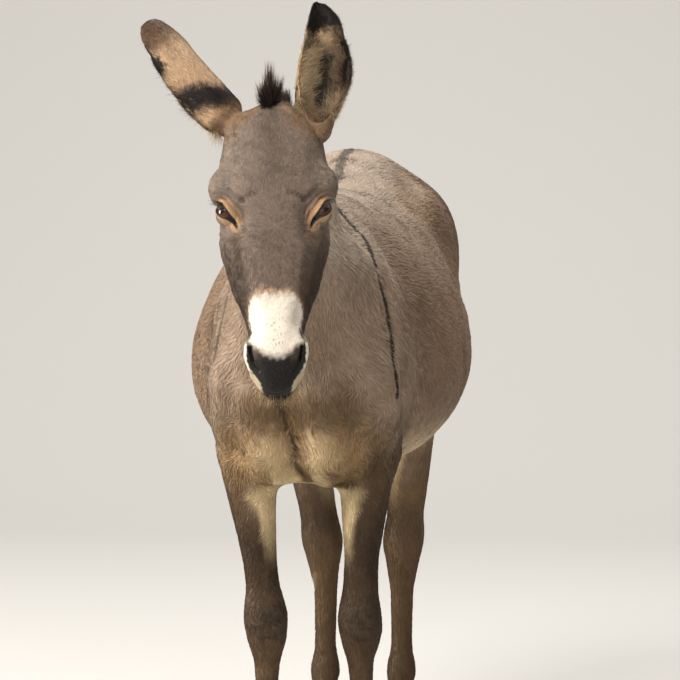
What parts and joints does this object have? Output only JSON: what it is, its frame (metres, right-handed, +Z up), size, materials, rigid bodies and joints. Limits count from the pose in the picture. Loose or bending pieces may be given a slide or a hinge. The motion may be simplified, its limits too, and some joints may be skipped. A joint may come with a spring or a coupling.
{
  "type": "donkey",
  "caption": "Life-size still model of a standing grey-dun donkey, head up and facing forward, one ear pricked and one turned out.",
  "frame": {"origin": "middle of the animal's bounding box, on the floor under its hooves", "axes": "+Z up, the nose points to -Y, the animal's left side is +X"},
  "size_m": [0.4867, 1.4395, 1.361],
  "materials": {
    "coat": "short matt hair",
    "face": "short matt hair",
    "leg": "short matt hair",
    "dark_hair": "coarse dark hair",
    "horn": "dull dark horn",
    "eye": "wet and glossy"
  },
  "bodies": {
    "root": {"head": "face", "neck": "coat", "chest": "coat", "barrel": "coat", "hindquarters": "coat", "tail_dock": "coat", "tail_switch": "dark_hair", "mane": "dark_hair", "forelock": "dark_hair", "ear_left": "face", "ear_right": "face", "eye_left": "eye", "eye_right": "eye", "fore_left_forearm": "leg", "fore_left_cannon": "leg", "fore_left_hoof": "horn", "fore_right_forearm": "leg", "fore_right_cannon": "leg", "fore_right_hoof": "horn", "hind_left_gaskin": "leg", "hind_left_cannon": "leg", "hind_left_hoof": "horn", "hind_right_gaskin": "leg", "hind_right_cannon": "leg", "hind_right_hoof": "horn"}
  },
  "joints": []
}
